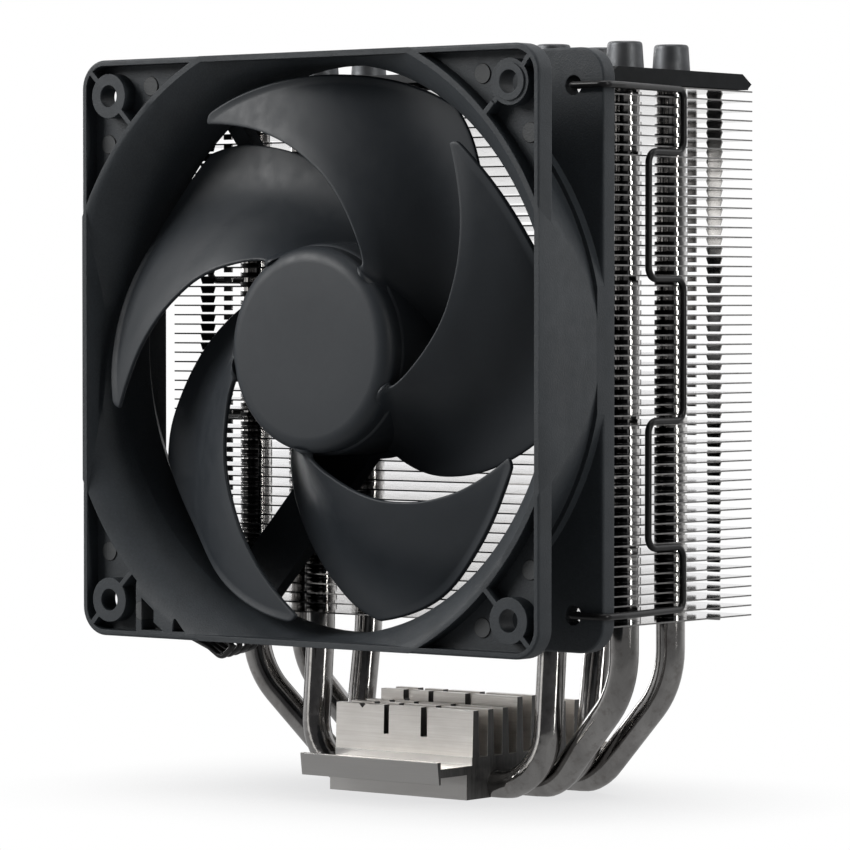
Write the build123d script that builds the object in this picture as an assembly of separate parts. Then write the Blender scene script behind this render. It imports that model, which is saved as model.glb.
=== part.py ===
"""Tower CPU cooler: base block, four heat pipes, 55 fins, one 120 mm fan and its wire clips.

Millimetres.  The origin is the centre of the base contact face and Z is up.  X runs along
the long side of the fins.  The fan sits at -Y of the fins, its open front facing -Y, and
blows along +Y.  Left and right are as seen from the front.  Fan parts are drawn round the
fan's axis, in x and z from the axis and in depth, measured back from the frame's front face.
"""
from build123d import *
import math
import os

os.makedirs("parts", exist_ok=True)

GAP = 0.02             # clearance that keeps neighbours from touching

# fan frame
FAN = 120.0            # side of the square frame
FAN_T = 25.0           # frame depth
FAN_Y = -51.2          # Y of the frame's front face
FAN_Z = 92.4           # height of the fan's axis
FLANGE_FRONT_T, FLANGE_REAR_T = 4.4, 3.9
CORNER_R = 6.0
EDGE_R = 0.5           # softened outer edges of the flanges
RIM = 1.2              # side wall left round the front pockets
POCKET = 3.4           # depth of the front corner pockets
HOLE_AT = 105.0 / 2    # screw holes, from the axis in x and in z
HOLE_D = 4.6           # front flange
HOLE_D_REAR = 4.0      # rear flange, where the clips hook in
BOSS_D = 9.2
LIP_R0, LIP_R1 = 64.8, 66.0      # front lip of the duct, inside and outside
DUCT_R = 61.3          # outside of the duct at its rear end
THROAT_R = 57.9
REAR_R = 62.7          # duct mouth at the rear face
MOTOR_R = 22.6         # fixed motor plate
TUBE_R = 4.6           # bearing tube
STRUT_DEPTH = (21.2, 24.6)
STRUT_W = 3.6
STRUT_ANGLES = (8.0, 128.0)
# wide strut that carries the cable: angle, sideways offset from the axis, width
WIDE_ANGLE, WIDE_OFFSET, WIDE_W = 228.0, 10.0, 11.0
CHANNEL_W = 4.6        # cable channel

# impeller
HUB_R0, HUB_R = 20.95, 21.5      # front part of the hub, and behind the step
HUB_BORE = 20.15
HUB_D0, HUB_D1 = 1.4, 20.4       # depth of its front and rear ends
CUP_D = 3.0                      # depth of the hub's inner front wall
BLADES = 5
ROOT_R, TIP_R = 20.6, 55.6
BLADE_T = 1.8                    # measured along the fan's axis
BLADE_SPAN = (20.2, 57.0)        # radii of the untrimmed blade surface
BLADE_ROWS, BLADE_COLS = 14, 18  # surface points outward, and leading to trailing edge
# leading and trailing edge of one blade: (radius, angle)
LEADING = [
    (19.5, -28.0), (21.5, -21.5), (23.0, -17.0), (26.0, -7.8), (29.0, -0.2),
    (32.0, 6.4), (35.0, 12.6), (38.0, 19.0), (41.0, 24.8), (44.0, 30.6),
    (47.0, 36.2), (50.0, 42.0), (52.5, 46.5), (54.5, 50.0), (57.5, 55.0)]
TRAILING = [
    (19.5, -74.0), (21.5, -71.0), (23.5, -67.5), (28.0, -59.5), (32.0, -52.5),
    (36.0, -45.0), (40.0, -38.0), (45.0, -29.5), (50.0, -21.5), (53.0, -16.5),
    (55.4, -11.5), (57.5, -7.5)]
# blade at its root and tip: (fraction from leading to trailing edge, depth)
ROOT_DEPTH = [
    (0, 2.9), (.1, 4.3), (.2, 5.9), (.35, 8.7), (.5, 11.6), (.65, 14.3),
    (.8, 16.7), (.9, 18.1), (1, 19.2)]
TIP_DEPTH = [
    (0, 3.2), (.08, 3.5), (.19, 4.5), (.32, 6.1), (.45, 8.4), (.57, 11.2),
    (.66, 13.3), (.81, 15.9), (.97, 17.6), (1, 17.8)]
BLADE_BASE_R = 21.0              # radius up to which the root depths hold

# fin stack
FIN_N = 55
FIN_PITCH = 2.0
FIN_T = 0.3
FIN_Z0 = 37.2
FIN_X, FIN_Y = 57.3, 25.2        # half width and half depth
COLLAR_H, COLLAR_R = 0.9, 3.4
TAB_X, TAB_W0, TAB_W1, TAB_H = 47.9, 4.0, 3.0, 1.3     # tapered tabs on the long edges
TAB2_X, TAB2_W, TAB2_T, TAB2_H = 42.5, 2.2, 0.4, 0.9   # small tabs, nearer the middle

# heat pipes
PIPE_R = 3.0
PIPE_WALL = 0.6
WICK_T = 0.35
PIPE_X_IN, PIPE_X_OUT = 30.9, 49.0     # legs of the inner and outer pipes
PIPE_Y = 8.05
PIPE_TOP = 152.6
PIPE_END_T = 1.6       # solid end above the cavity
PIPE_ZC = 2.4          # centre height inside the base; the under side is flat
GROOVE_PITCH = 7.0
GROOVE_Y = [(i - 1.5) * GROOVE_PITCH for i in range(4)]
PIPE_XY = [(sx * x, sy * PIPE_Y)
           for x in (PIPE_X_IN, PIPE_X_OUT) for sx in (-1, 1) for sy in (-1, 1)]
# name: (is outer, side in Y, Y in the base)
PIPES = {
    "heat_pipe_front_inner": (False, -1, GROOVE_Y[0]),
    "heat_pipe_front_outer": (True, -1, GROOVE_Y[1]),
    "heat_pipe_rear_inner": (False, 1, GROOVE_Y[2]),
    "heat_pipe_rear_outer": (True, 1, GROOVE_Y[3]),
}

# top cover and caps
COVER_Z0, COVER_Z1 = 145.7, 148.9
COVER_T = 1.1
CAP_Z1 = 154.6
CAP_R0, CAP_R1 = 3.9, 3.48
CAP_EDGE_R = 0.55

# base block
BASE_X, BASE_Y = 18.2, 20.4      # half width and half depth
STEP_Y = 18.6                    # half depth above the rails
RAIL_Y = 30.1                    # outer edge of the front and rear rails
RAIL_LIP_Y = RAIL_Y - 1.1        # inner side of the rails' raised lips
RAIL_Z0, RAIL_Z1, LIP_Z = 3.8, 7.0, 8.4
FLOOR_Z = 8.6
BASE_FINS = 8
BASE_FIN_PITCH, BASE_FIN_T = 4.95, 2.0
BASE_FIN_Z, BASE_FIN_MID_Z = 18.2, 20.1        # tops; the middle two are taller
CROSS_CUTS = ((-5.35, -4.05), (4.45, 6.15))    # X from and to
CROSS_CUT_Z = 12.2

# cable
CABLE_WIRES = 4
CABLE_WIRE_R = 0.5
CABLE_PITCH = 1.08     # side by side in the wide strut
WIRE_DEPTHS = [7.5 + 2.54 * i for i in range(CABLE_WIRES)]    # in the plug

# wire clips
CLIP_WIRE_D = 1.4
CLIP_X = 58.25         # wire line beside the fins
CLIP_Y_REAR, CLIP_Y_FRONT = -0.6, -12.6
CLIP_Z_OUT, CLIP_Z_IN = 39.8, 14.3     # heights of the jogs, from the fan's axis

CORNERS = [(sx, sz) for sx in (-1, 1) for sz in (-1, 1)]


# ------------------------------------------------------------------- helpers
def slab(sketch, y0, y1):
    """Solid between Y = y0 and Y = y1 from a sketch drawn in X and Z."""
    return extrude(Plane.XZ.offset(-y1) * sketch, amount=y1 - y0)


def along_x(profile, half):
    """Solid from X = -half to half with a profile drawn in Y and Z."""
    return extrude(Plane.YZ * profile, amount=half, both=True)


def polygon(*points):
    return make_face(Polyline(*points, close=True))


def box(x0, x1, y0, y1, z0, z1):
    centre = Pos((x0 + x1) / 2, (y0 + y1) / 2, (z0 + z1) / 2)
    return centre * Box(abs(x1 - x0), abs(y1 - y0), abs(z1 - z0))


def post(x, y, radius, z0, z1):
    """Upright cylinder."""
    return Pos(x, y, (z0 + z1) / 2) * Cylinder(radius, z1 - z0)


def fan_y(depth):
    return FAN_Y + depth


def fan_slab(sketch, depth0, depth1):
    """Slab from a sketch centred on the fan's axis."""
    return slab(Pos(0, FAN_Z) * sketch, fan_y(depth0), fan_y(depth1))


def fan_square(side, depth0, depth1):
    return fan_slab(Rectangle(side, side), depth0, depth1)


def fan_disc(x, z, radius, depth0, depth1):
    return fan_slab(Pos(x, z) * Circle(radius), depth0, depth1)


def fan_box(x0, x1, depth0, depth1, z0, z1):
    return box(x0, x1, fan_y(depth0), fan_y(depth1), FAN_Z + z0, FAN_Z + z1)


def turned(points):
    """Revolve a closed (radius, depth) profile about the fan's axis."""
    return Pos(0, FAN_Y, FAN_Z) * revolve(polygon(*points), Axis.Y, 360)


def ring(r0, r1, depth0, depth1):
    return turned([(r0, depth0), (r1, depth0), (r1, depth1), (r0, depth1)])


def radial(angle, radius, offset, sketch):
    """Sketch moved out to a radius and sideways, then turned to an angle."""
    return Rot(0, 0, angle) * (Pos(radius, offset) * sketch)


def rounded_path(points, radii):
    """Polyline with each inner corner rounded by an arc of its own radius."""
    points = [Vector(*point) for point in points]
    edges, last = [], points[0]
    for before, corner, after, radius in zip(points, points[1:], points[2:], radii):
        back, ahead = (before - corner).normalized(), (after - corner).normalized()
        half_angle = math.acos(max(-1.0, min(1.0, back.dot(ahead)))) / 2
        cut = radius / math.tan(half_angle)
        start, end = corner + back * cut, corner + ahead * cut
        bisector = (back + ahead).normalized()
        centre = corner + bisector * (radius / math.sin(half_angle))
        if (start - last).length > 1e-4:
            edges.append(Line(last, start))
        edges.append(ThreePointArc(start, centre - bisector * radius, end))
        last = end
    edges.append(Line(last, points[-1]))
    return Wire([edge.edge() for edge in edges])


def rod(points, radii, rod_radius):
    """Round bar swept along a rounded path."""
    wire = rounded_path(points, radii)
    section = Plane(origin=wire @ 0, z_dir=wire % 0) * Circle(rod_radius)
    return sweep(section, path=wire, transition=Transition.RIGHT)


def mirrored(half, radii):
    """A half path and its corner radii, completed on the far side in reverse."""
    return [*half, *((-x, y, z) for x, y, z in reversed(half))], radii + radii[::-1]


def largest(shape):
    """List holding the biggest solid, which drops stray slivers."""
    return sorted(shape.solids(), key=lambda solid: -solid.volume)[:1]


def save(name, *shapes):
    solids = [solid for shape in shapes for solid in shape.solids()]
    result = solids[0] if len(solids) == 1 else Compound(children=solids)
    export_step(result, "parts/" + name + ".step")


# ------------------------------------------------------------------ heatsink
def pipe_rod(outer, side, base_y, top, radius):
    y = side * PIPE_Y
    if outer:
        half = [(PIPE_X_OUT, y, top), (PIPE_X_OUT, y, 23.7), (28.3, base_y, PIPE_ZC)]
        bends = [18.0, 12.0]
    else:
        half = [(PIPE_X_IN, y, top), (PIPE_X_IN, y, 33.0), (PIPE_X_IN, base_y, PIPE_ZC)]
        bends = [40.0, 12.0]
    return rod(*mirrored(half, bends), radius)


def heat_pipe(*route):
    """Closed U-shaped tube, ends up and flat below, and the wick that lines it."""
    def all_below(z):
        return box(-60, 60, -30, 30, -10, z)

    cavity_top = PIPE_TOP - PIPE_END_T
    body = pipe_rod(*route, PIPE_TOP, PIPE_R)
    core = pipe_rod(*route, cavity_top, PIPE_R - PIPE_WALL)
    cavity = core - all_below(PIPE_WALL)
    lumen = pipe_rod(*route, cavity_top, PIPE_R - PIPE_WALL - WICK_T)
    wick = cavity - lumen - all_below(PIPE_WALL + 0.01)
    shell = (body - all_below(0)) - cavity
    ends = shell.edges().filter_by(GeomType.CIRCLE).filter_by(
        lambda e: abs(e.center().Z - PIPE_TOP) < 0.01 and abs(e.radius - PIPE_R) < 0.01)
    # the kernel may refuse to round the swept ends; they then stay square
    try:
        shell = fillet(ends, 1.2)
    except Exception:
        pass
    return shell, wick


def base_block():
    """Block with a rail front and rear, small fins on top and pipe grooves below."""
    base = along_x(polygon(
        (-BASE_Y, 0), (BASE_Y, 0), (BASE_Y, RAIL_Z0), (RAIL_Y - 0.6, RAIL_Z0),
        (RAIL_Y, LIP_Z), (RAIL_LIP_Y, LIP_Z), (RAIL_LIP_Y, RAIL_Z1), (STEP_Y, RAIL_Z1),
        (STEP_Y, FLOOR_Z), (-STEP_Y, FLOOR_Z), (-STEP_Y, RAIL_Z1), (-RAIL_LIP_Y, RAIL_Z1),
        (-RAIL_LIP_Y, LIP_Z), (-RAIL_Y, LIP_Z), (-RAIL_Y + 0.6, RAIL_Z0),
        (-BASE_Y, RAIL_Z0)), BASE_X)
    # the rails are thinned from below
    for side in (-1, 1):
        base -= box(-BASE_X - 1, BASE_X + 1,
                    side * (BASE_Y + 0.01), side * RAIL_LIP_Y, 3.0, 5.2)
    # small fins, tapering upward
    foot, tip = BASE_FIN_T / 2 + 0.18, BASE_FIN_T / 2 - 0.12
    middle = (BASE_FINS - 1) / 2
    for i in range(BASE_FINS):
        y = (i - middle) * BASE_FIN_PITCH
        top = BASE_FIN_MID_Z if abs(i - middle) < 1 else BASE_FIN_Z
        base += along_x(polygon((y - foot, FLOOR_Z - 0.5), (y + foot, FLOOR_Z - 0.5),
                                (y + tip, top), (y - tip, top)), BASE_X)
    for x0, x1 in CROSS_CUTS:
        base -= box(x0, x1, -40, 40, CROSS_CUT_Z, 30)
    # V notch across the fin tops
    notch = polygon((-12.1, 30), (-12.1, BASE_FIN_Z), (-11.2, BASE_FIN_Z - 0.9),
                    (-10.3, BASE_FIN_Z), (-10.3, 30))
    base -= slab(notch, -40, 40)
    # pipe grooves
    groove_r = PIPE_R + GAP
    for y in GROOVE_Y:
        base -= Pos(0, y, PIPE_ZC) * Rot(0, 90, 0) * Cylinder(groove_r, 80)
        base -= box(-40, 40, y - groove_r, y + groove_r, -5, 0.0)
    return base


def fin_stack():
    """Copies of one sheet with drawn collars and folded edge tabs."""
    sheet = extrude(Rectangle(2 * FIN_X, 2 * FIN_Y), amount=FIN_T)
    for x, y in PIPE_XY:
        sheet += post(x, y, COLLAR_R, 0, FIN_T + COLLAR_H)
    for x, y in PIPE_XY:
        sheet -= post(x, y, PIPE_R + GAP, -1, 3)
    tab = polygon((-TAB_W0 / 2, FIN_T / 2), (TAB_W0 / 2, FIN_T / 2), (TAB_W0 / 2, 0),
                  (TAB_W1 / 2, -TAB_H), (-TAB_W1 / 2, -TAB_H), (-TAB_W0 / 2, 0))
    for side in (-1, 1):
        placed = Pos(side * TAB_X, 0) * tab
        sheet += slab(placed, -FIN_Y, -FIN_Y + FIN_T)
        sheet += slab(placed, FIN_Y - FIN_T, FIN_Y)
        x = side * TAB2_X
        for side_y in (-1, 1):
            y = side_y * (FIN_Y - 0.5)
            sheet += box(x - TAB2_W / 2, x + TAB2_W / 2, y - TAB2_T / 2, y + TAB2_T / 2,
                         -TAB2_H, FIN_T / 2)
    fin = sheet.solids()[0]
    return [Pos(0, 0, FIN_Z0 + i * FIN_PITCH) * fin for i in range(FIN_N)]


def top_cover():
    """Shallow lid with bevelled front and rear edges."""
    lid = along_x(polygon(
        (-21.7, COVER_Z1), (21.7, COVER_Z1), (24.9, 146.9), (23.7, COVER_Z0 + 0.25),
        (23.7, COVER_Z0), (-23.7, COVER_Z0), (-23.7, COVER_Z0 + 0.25), (-24.9, 146.9)),
        FIN_X)
    roof = COVER_Z1 - COVER_T
    lid -= along_x(polygon((-20.9, roof), (20.9, roof), (22.4, 146.8), (22.4, 140),
                           (-22.4, 140), (-22.4, 146.8)), FIN_X - COVER_T)
    for x, y in PIPE_XY:
        lid -= post(x, y, PIPE_R + GAP, 140, 160)
    return lid


def pipe_caps():
    """Tapered caps over the pipe ends."""
    height = CAP_Z1 - COVER_Z1 - GAP
    caps = []
    for x, y in PIPE_XY:
        cap = Pos(x, y, COVER_Z1 + GAP + height / 2) * Cone(CAP_R0, CAP_R1, height)
        cap = fillet(cap.edges().sort_by(Axis.Z)[-1], CAP_EDGE_R)
        cap -= post(x, y, PIPE_R + GAP, 140, PIPE_TOP + 0.1)
        caps.append(cap)
    return caps


# ----------------------------------------------------------------- fan frame
def flange(depth0, depth1):
    body = fan_slab(RectangleRounded(FAN, FAN, CORNER_R), depth0, depth1)
    outline = body.edges().filter_by(
        lambda e: abs(e.center().Y - fan_y(depth0)) < 1e-4
        or abs(e.center().Y - fan_y(depth1)) < 1e-4)
    return fillet(outline, EDGE_R)


def flanged_duct():
    """Two flanges joined by a duct with a bell mouth, throat and short rear flare."""
    frame = flange(0, FLANGE_FRONT_T)
    frame += flange(FAN_T - FLANGE_REAR_T, FAN_T)
    duct = turned([(0, 0), (LIP_R1, 0), (LIP_R1, 1.0), (60.3, 19.0), (DUCT_R, 19.0),
                   (DUCT_R, 22.0), (0, 22.0)])
    frame += duct & fan_square(FAN, 0, FAN_T)
    bore = turned([
        (0, -1.0), (LIP_R0, -1.0), (LIP_R0, 0.0), (63.6, 0.9), (62.2, 2.1), (60.6, 3.9),
        (59.3, 5.8), (58.4, 7.8), (THROAT_R, 10.0), (THROAT_R, 18.6),
        (REAR_R, FAN_T), (REAR_R, FAN_T + 1), (0, FAN_T + 1)])
    return frame - (bore & fan_square(FAN - 2 * RIM, -2, FAN_T + 2))


def cut_front_corners(frame):
    """Front pockets, leaving a boss and a diagonal rib across it in each corner."""
    inside = FAN - 2 * RIM
    pocket = RectangleRounded(inside, inside, CORNER_R - RIM) - Circle(LIP_R1)
    bosses = None
    for sx, sz in CORNERS:
        centre = Pos(sx * HOLE_AT, sz * HOLE_AT)
        rib = centre * (Rot(0, 0, 45 * sx * sz) * Rectangle(26, 1.0))
        boss = centre * Circle(BOSS_D / 2) + rib
        bosses = boss if bosses is None else bosses + boss
    pocket = pocket - bosses
    # solid land beside the lower left pocket
    pocket = pocket - Pos(-36.0, -55) * Rectangle(18.0, 14)
    pieces = fan_slab(pocket, 0, POCKET).solids()
    frame -= Compound(children=[piece for piece in pieces if piece.volume > 15])
    # two open slots in the land
    for slot in (
            [(-43.5, -51.7), (-40.1, -54.2), (-40.1, -56.7), (-37.6, -58.4), (-43.5, -58.4)],
            [(-34.8, -55.8), (-34.4, -55.8), (-31.6, -58.4), (-35.0, -58.4)]):
        frame -= fan_slab(polygon(*slot), -1, FLANGE_FRONT_T + 1)
    # softened mouth toward the lower left
    mouth = Pos(-1.3, 0, -1.3) * turned([
        (40, -1.0), (65.0, -1.0), (65.0, 0.0), (64.4, 0.15), (63.4, 0.6), (61.3, 1.9),
        (59.1, 4.0), (57.3, 6.8), (55.9, 10.2), (40, 10.2)])
    frame -= mouth & fan_square(inside, -2, 12)
    # round marks on the pocket floors; the lower left land takes the place of one
    for sx, sz in CORNERS:
        for x, z in ((43.6, 54.4), (55.4, 42.6)):
            if (sx, sz, x) != (-1, -1, 43.6):
                frame += fan_disc(sx * x, sz * z, 1.95, POCKET - 0.22, POCKET + 0.2)
    return frame


def add_motor_mount(frame):
    """Motor plate with a raised rim, two plain struts and the wide one."""
    frame += turned([(0, 22.3), (MOTOR_R, 22.3), (MOTOR_R, 24.8), (19.6, 24.8),
                     (19.6, 24.5), (0, 24.5)])
    frame += ring(MOTOR_R - 1, MOTOR_R, 21.0, 22.5)
    for angle in STRUT_ANGLES:
        bar = radial(angle, 41.0, 0, Rectangle(42.0, STRUT_W))
        frame += fan_slab(bar, *STRUT_DEPTH) & fan_square(FAN - 1, 20, 26)
    bar = radial(WIDE_ANGLE, 39.0, WIDE_OFFSET, Rectangle(50.0, WIDE_W))
    strut = fan_slab(bar, *STRUT_DEPTH) - fan_disc(0, 0, 21.8, 20, 26)
    return frame + (strut & fan_square(FAN - 1, 20, 26))


def cable_channel(depth0, depth1):
    channel = radial(WIDE_ANGLE, 40.5, WIDE_OFFSET, Rectangle(52.0, CHANNEL_W))
    return fan_slab(channel, depth0, depth1)


def fan_frame():
    frame = add_motor_mount(cut_front_corners(flanged_duct()))
    # cable channel in the rear of the wide strut, and its way through the flange
    frame -= cable_channel(22.75, FAN_T + 1)
    way = radial(WIDE_ANGLE, 65.0, WIDE_OFFSET, Rectangle(CHANNEL_W, CHANNEL_W))
    frame -= fan_slab(way, FAN_T - FLANGE_REAR_T - 0.5, FAN_T + 1)
    for sx, sz in CORNERS:
        x, z = sx * HOLE_AT, sz * HOLE_AT
        frame -= fan_disc(x, z, HOLE_D / 2, -1, FLANGE_FRONT_T + 1)
        frame -= fan_disc(x, z, HOLE_D_REAR / 2, 12, FAN_T + 1)
    # shallow step round the upper right boss
    step = fan_disc(HOLE_AT, HOLE_AT, BOSS_D / 2 + 1, -1, 0.35) - fan_disc(
        HOLE_AT, HOLE_AT, 3.7, -2, 1)
    frame -= step & fan_square(FAN - 2 * RIM, -2, 2)
    # seat of the bearing tube
    frame -= fan_disc(0, 0, TUBE_R + GAP, 20, 23.9)
    return largest(frame)


def fan_pads():
    """Rubber pads between the rear flange and the fins."""
    pads = []
    for sx, sz in CORNERS:
        outline = Pos(sx * 51.6, sz * 45.0) * RectangleRounded(9.0, 9.0, 2.0)
        pad = fan_slab(outline, FAN_T + 0.01, FAN_T + 0.9)
        pad &= fan_square(FAN, 20, 30)
        pad -= fan_disc(sx * HOLE_AT, sz * HOLE_AT, HOLE_D / 2 + 0.6, 20, 30)
        pad -= ring(0, REAR_R + 0.3, 20, 30)
        pads += largest(pad)
    return pads


# --------------------------------------------------------- bearing and motor
def bearing_tube():
    return turned([(3.6, 7.2), (TUBE_R, 7.2), (TUBE_R, 23.88), (0, 23.88),
                   (0, 22.9), (3.6, 22.9)])


def stator_outline(hub_r, arm_w, shoes):
    """Hub, four arms and the pole shoes, bored for the bearing tube."""
    outline = Circle(hub_r)
    for k in range(4):
        outline += radial(90 * k, 10.5, 0, Rectangle(9.0, arm_w))
    return (outline + shoes) - Circle(TUBE_R + 2 * GAP)


def stator():
    """Core, and the insulators in front of and behind it."""
    shoes = Circle(16.7) - Circle(14.6)
    for k in range(4):
        shoes -= radial(45 + 90 * k, 15.6, 0, Rectangle(6, 3.2))
    core = fan_slab(stator_outline(7.2, 4.0, shoes), 10.0, 17.0)
    insulator = stator_outline(7.4, 4.6, shoes & Circle(16.2))
    return core, [fan_slab(insulator, 9.0, 9.99), fan_slab(insulator, 17.01, 18.0)]


def stator_windings():
    coils = []
    for k in range(4):
        block = radial(90 * k, 11.0, 0, RectangleRounded(5.6, 8.0, 1.0))
        tunnel = radial(90 * k, 11.0, 0, Rectangle(9.0, 4.66))
        coils += largest(fan_slab(block, 7.7, 19.3) - fan_slab(tunnel, 8.95, 18.05))
    return coils


def board_parts():
    """Three small blocks on the rear of the motor board."""
    board = 20.61
    return [fan_box(-3.0, 3.0, board, 21.9, 9.5, 13.5),
            fan_box(-14.0, -10.5, board, 21.6, -1.0, 1.2),
            fan_box(9.8, 12.6, board, 21.6, -1.6, 1.6)]


# ------------------------------------------------------------ cable and plug
def fan_cable():
    """Four wires: along the wide strut, out through the flange, through a slack
    loop below the frame and up into the plug."""
    angle = math.radians(WIDE_ANGLE)
    bends = [0.9, 0.9, 1.0, 1.6, 2.5, 3.0, 4.0, 1.5]
    wires = []
    for k, depth in enumerate(WIRE_DEPTHS):
        offset = WIDE_OFFSET + (k - (CABLE_WIRES - 1) / 2) * CABLE_PITCH

        def on_strut(radius, at_depth):
            return (radius * math.cos(angle) - offset * math.sin(angle), at_depth,
                    radius * math.sin(angle) + offset * math.cos(angle))

        route = [      # (x, depth, z) from the fan's axis
            on_strut(17.5, 23.6),
            on_strut(63.8, 23.6),
            on_strut(64.9, depth),
            (-24.5 + 0.3 * k, depth, -61.3),
            (-27.9 - 0.5 * k, depth, -63.9 + 0.3 * k),
            (-31.3 - 1.3 * k, depth, -61.8 + 0.3 * k),
            (-38.0 - 0.6 * k, depth, -59.3),
            (-47.0, depth, -58.2),
            (-56.0, depth, -54.2),
            (-56.0, depth, -49.0)]
        points = [(x, fan_y(y), FAN_Z + z) for x, y, z in route]
        wires.append(rod(points, bends, CABLE_WIRE_R))
    return wires


def cable_plug():
    """Four way plug between the flanges, with two grooves in its left side."""
    plug = fan_box(-59.0, -53.1, 6.1, 16.5, -50.4, -39.0)
    for depth in WIRE_DEPTHS:
        plug -= fan_box(-57.0, -55.0, depth - 0.75, depth + 0.75, -51, -38)
    for depth in (7.3, 14.5):
        plug -= fan_box(-60, -58.5, depth - 0.4, depth + 0.4, -51, -44)
    return plug


def plug_terminals():
    """Sleeves open at the top, closed round the wire ends."""
    return [fan_box(-56.9, -55.1, depth - 0.65, depth + 0.65, -48.9, -39.6)
            - fan_box(-56.5, -55.5, depth - 0.4, depth + 0.4, -47.9, -39)
            for depth in WIRE_DEPTHS]


# --------------------------------------------------------------------- rotor
def interpolate(table, x):
    if x <= table[0][0]:
        return table[0][1]
    for (x0, value0), (x1, value1) in zip(table, table[1:]):
        if x <= x1:
            return value0 + (value1 - value0) * (x - x0) / (x1 - x0)
    return table[-1][1]


def blade_point(radius, fraction):
    """Point on the blade's front, at a fraction from leading to trailing edge."""
    lead, trail = interpolate(LEADING, radius), interpolate(TRAILING, radius)
    angle = math.radians(lead + (trail - lead) * fraction)
    outward = max(0.0, min(1.0, (radius - BLADE_BASE_R) / (TIP_R - BLADE_BASE_R)))
    depth = ((1 - outward) * interpolate(ROOT_DEPTH, fraction)
             + outward * interpolate(TIP_DEPTH, fraction))
    return Vector(radius * math.cos(angle), FAN_Y + depth, FAN_Z + radius * math.sin(angle))


def fan_blade():
    inner, outer = BLADE_SPAN
    radii = [inner + (outer - inner) * i / (BLADE_ROWS - 1) for i in range(BLADE_ROWS)]
    grid = [[blade_point(r, j / (BLADE_COLS - 1)) for j in range(BLADE_COLS)] for r in radii]
    surface = Face.make_surface_from_array_of_points(grid, tol=0.02)
    blade = extrude(surface, amount=BLADE_T, dir=(0, 1, 0))
    return (ring(ROOT_R, TIP_R, -1, 24) & blade).solids()[0]


def fan_impeller():
    """Cup-shaped hub with a shaft boss inside, and the blades."""
    blade = fan_blade()
    impeller = turned([
        (0, HUB_D0), (18.4, HUB_D0), (19.4, HUB_D0 + 0.25), (20.25, HUB_D0 + 0.9),
        (20.8, HUB_D0 + 1.8), (HUB_R0, HUB_D0 + 2.8), (HUB_R0, 6.1), (HUB_R, 6.5),
        (HUB_R, HUB_D1), (HUB_BORE, HUB_D1), (HUB_BORE, CUP_D),
        (4.2, CUP_D), (4.2, 5.6), (1.52, 5.6), (1.52, CUP_D), (0, CUP_D)])
    axis = Axis((0, 0, FAN_Z), (0, -1, 0))
    for k in range(BLADES):
        impeller = impeller + blade.rotate(axis, 360 / BLADES * k)
    return largest(impeller)


def rotor_yoke():
    """Thin cup lining the hub."""
    return turned([(4.24, 3.02), (20.12, 3.02), (20.12, 19.4), (19.3, 19.4),
                   (19.3, 3.8), (4.24, 3.8)])


def rotor_shaft():
    """Shaft with a groove for its retainer near the rear end."""
    return turned([(0, 3.05), (1.5, 3.05), (1.5, 20.6), (1.2, 20.6), (1.2, 21.1),
                   (1.5, 21.1), (1.5, 21.7), (1.0, 22.1), (0, 22.2)])


def shaft_retainer():
    """Washer slotted open toward +X."""
    return ring(1.22, 2.8, 20.62, 21.08) - fan_box(0, 4, 20, 22, -0.8, 0.8)


# --------------------------------------------------------------------- clips
def clip(side):
    """Wire clip hooked into the rear flange's holes and running down beside the fins."""
    upper = [          # (x, y, z from the fan's axis)
        (HOLE_AT, fan_y(FAN_T) - 1.6, HOLE_AT),
        (HOLE_AT, -31.05, HOLE_AT),
        (61.0, -31.05, HOLE_AT),
        (60.95, -25.0, HOLE_AT),
        (CLIP_X, CLIP_Y_REAR, HOLE_AT),
        (CLIP_X, CLIP_Y_REAR, CLIP_Z_OUT),
        (CLIP_X, CLIP_Y_FRONT, CLIP_Z_OUT),
        (CLIP_X, CLIP_Y_FRONT, CLIP_Z_IN),
        (CLIP_X, CLIP_Y_REAR, CLIP_Z_IN)]
    bends = [1.0, 1.6, 8.0, 1.9, 2.4, 2.4, 2.4, 2.4]
    points = [(side * x, y, FAN_Z + z) for x, y, z in upper]
    points += [(side * x, y, FAN_Z - z) for x, y, z in reversed(upper)]
    return rod(points, bends + bends[::-1], CLIP_WIRE_D / 2)


# --------------------------------------------------------------------- build
wicks = []
for name, route in PIPES.items():
    shell, wick = heat_pipe(*route)
    save(name, shell)
    wicks += largest(wick)
save("pipe_wicks", *wicks)
save("base_block", base_block())
save("fin_stack", *fin_stack())
save("top_cover", top_cover())
save("pipe_caps", *pipe_caps())

save("fan_frame", *fan_frame())
save("fan_pads", *fan_pads())
save("bearing_tube", bearing_tube())
save("sleeve_bearing", ring(1.53, 3.58, 7.6, 20.2))
save("thrust_pad", ring(0, 3.5, 22.25, 22.88))
stator_core, insulators = stator()
save("stator_core", stator_core)
save("stator_insulators", *insulators)
save("stator_windings", *stator_windings())
save("motor_pcb", ring(4.7, 17.6, 19.5, 20.6))
save("board_parts", *board_parts())
save("rear_label", *largest(ring(0, 18.8, 24.51, 24.66) - cable_channel(22, 26)))
save("fan_cable", *fan_cable())
save("cable_plug", cable_plug())
save("plug_terminals", *plug_terminals())

save("fan_impeller", *fan_impeller())
save("rotor_yoke", rotor_yoke())
save("rotor_magnet", ring(17.25, 19.27, 6.2, 18.6))
save("rotor_shaft", rotor_shaft())
save("shaft_retainer", shaft_retainer())

save("clip_right", clip(1))
save("clip_left", clip(-1))
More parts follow.
